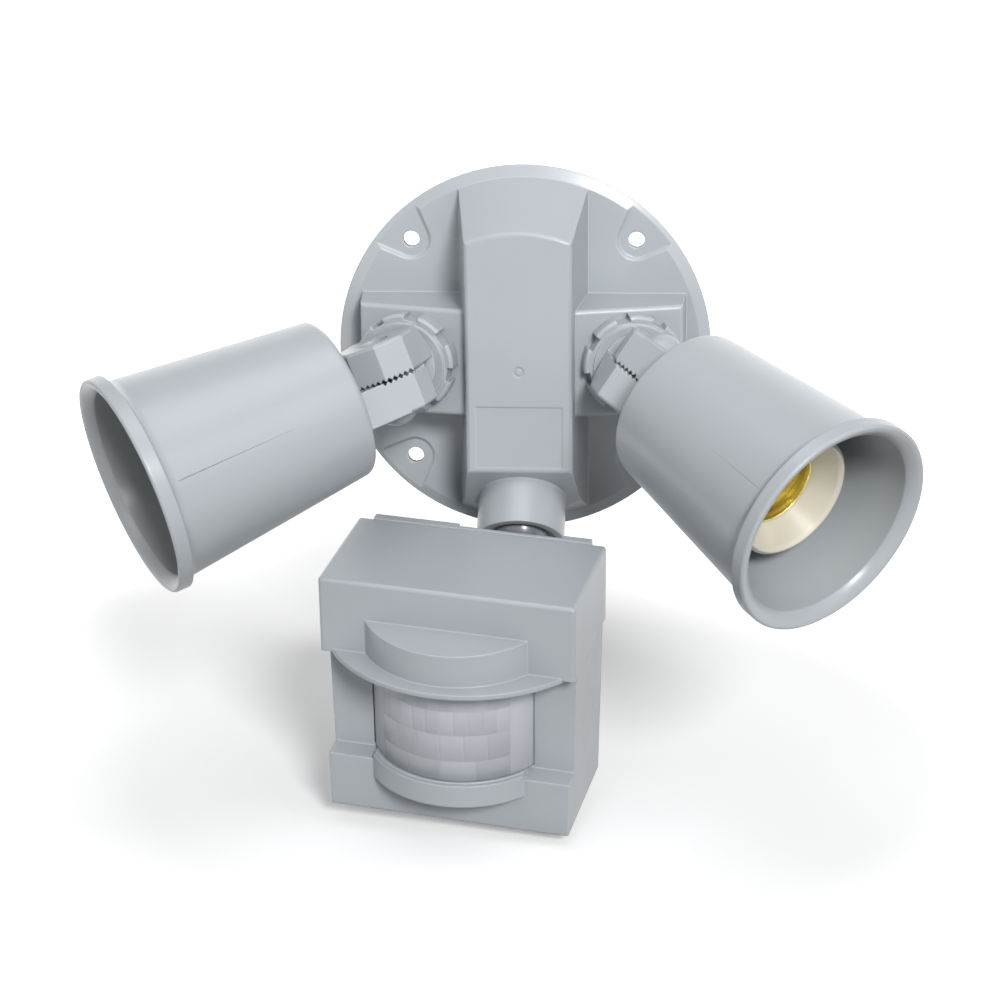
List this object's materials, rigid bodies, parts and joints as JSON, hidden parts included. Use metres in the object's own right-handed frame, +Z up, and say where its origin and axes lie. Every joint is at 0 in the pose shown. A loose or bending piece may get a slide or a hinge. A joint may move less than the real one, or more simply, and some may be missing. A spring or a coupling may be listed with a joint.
{
  "type": "outdoor lamp holder with motion sensor",
  "caption": "Round wall canopy with two swivelling bell lampholders with porcelain sockets and a motion sensor head on a ball joint.",
  "frame": {"origin": "centre of the round canopy on the plane of the wall, midway between the four mounting holes", "axes": "+Z up the wall, -Y straight out from the wall towards the viewer, +X to the viewer's right"},
  "size_m": [0.2688, 0.1356, 0.2104],
  "materials": {
    "grey_plastic": "satin",
    "dark_plastic": "gloss",
    "lens_plastic": "satin",
    "porcelain": "gloss",
    "brass": "satin",
    "steel": "satin",
    "gasket_rubber": "matte",
    "board": "satin",
    "relay_case": "gloss",
    "capacitor_can": "satin"
  },
  "bodies": {
    "canopy": {"canopy": "grey_plastic", "canopy_gasket": "gasket_rubber"},
    "left_arm": {"left_stem": "grey_plastic", "left_locknut": "grey_plastic"},
    "left_lamp": {"left_lampholder": "grey_plastic", "left_clamp_screw": "steel", "left_clamp_nut": "steel", "left_porcelain_socket": "porcelain", "left_screw_shell": "brass", "left_centre_contact": "brass", "left_socket_screws": "steel"},
    "right_arm": {"right_stem": "grey_plastic", "right_locknut": "grey_plastic"},
    "right_lamp": {"right_lampholder": "grey_plastic", "right_clamp_screw": "steel", "right_clamp_nut": "steel", "right_porcelain_socket": "porcelain", "right_screw_shell": "brass", "right_centre_contact": "brass", "right_socket_screws": "steel"},
    "ball_seat": {"ball_seat": "dark_plastic"},
    "sensor": {"sensor_arm": "dark_plastic", "sensor_housing": "grey_plastic", "sensor_hood": "grey_plastic", "sensor_lens": "lens_plastic", "sensor_back_cover": "grey_plastic", "sensor_board": "board", "board_screws": "steel", "pir_holder": "dark_plastic", "pir_element": "steel", "relay": "relay_case", "capacitor": "capacitor_can", "photocell": "dark_plastic", "cover_screws": "steel"},
    "range_knob": {"range_knob": "dark_plastic"},
    "time_switch": {"time_switch": "dark_plastic"}
  },
  "joints": [
    {"name": "left_swivel", "type": "hinge", "parent": "canopy", "child": "left_arm", "pos_m": [-0.0372, -0.0216, 0.0007], "axis": [-0.225, -0.9744, 0], "range_deg": [-60, 15]},
    {"name": "left_knuckle", "type": "hinge", "parent": "left_arm", "child": "left_lamp", "pos_m": [-0.04249, -0.0445, 0.0007], "axis": [0.3492, -0.0806, -0.9336], "range_deg": [-48, 16]},
    {"name": "right_swivel", "type": "hinge", "parent": "canopy", "child": "right_arm", "pos_m": [0.0372, -0.0216, 0.0007], "axis": [0.225, -0.9744, 0], "range_deg": [-18.5, 61.5]},
    {"name": "right_knuckle", "type": "hinge", "parent": "right_arm", "child": "right_lamp", "pos_m": [0.04249, -0.0445, 0.0007], "axis": [0.5477, 0.1264, 0.8271], "range_deg": [-33.3, 30.3]},
    {"name": "sensor_pan", "type": "hinge", "parent": "canopy", "child": "ball_seat", "pos_m": [0, -0.02717, -0.05707], "axis": [0, -0.7071, -0.7071], "range_deg": [-20, 20]},
    {"name": "sensor_tilt", "type": "hinge", "parent": "ball_seat", "child": "sensor", "pos_m": [0, -0.02717, -0.05707], "axis": [1, 0, 0], "range_deg": [-15, 5]},
    {"name": "range_turn", "type": "hinge", "parent": "sensor", "child": "range_knob", "pos_m": [-0.00068, -0.05005, -0.14204], "axis": [-0.0163, 0.1657, -0.986], "range_deg": [-135, 135]},
    {"name": "time_slide", "type": "slide", "parent": "sensor", "child": "time_switch", "axis": [0.9826, -0.1798, -0.0465], "range_m": [0, 0.006]}
  ]
}
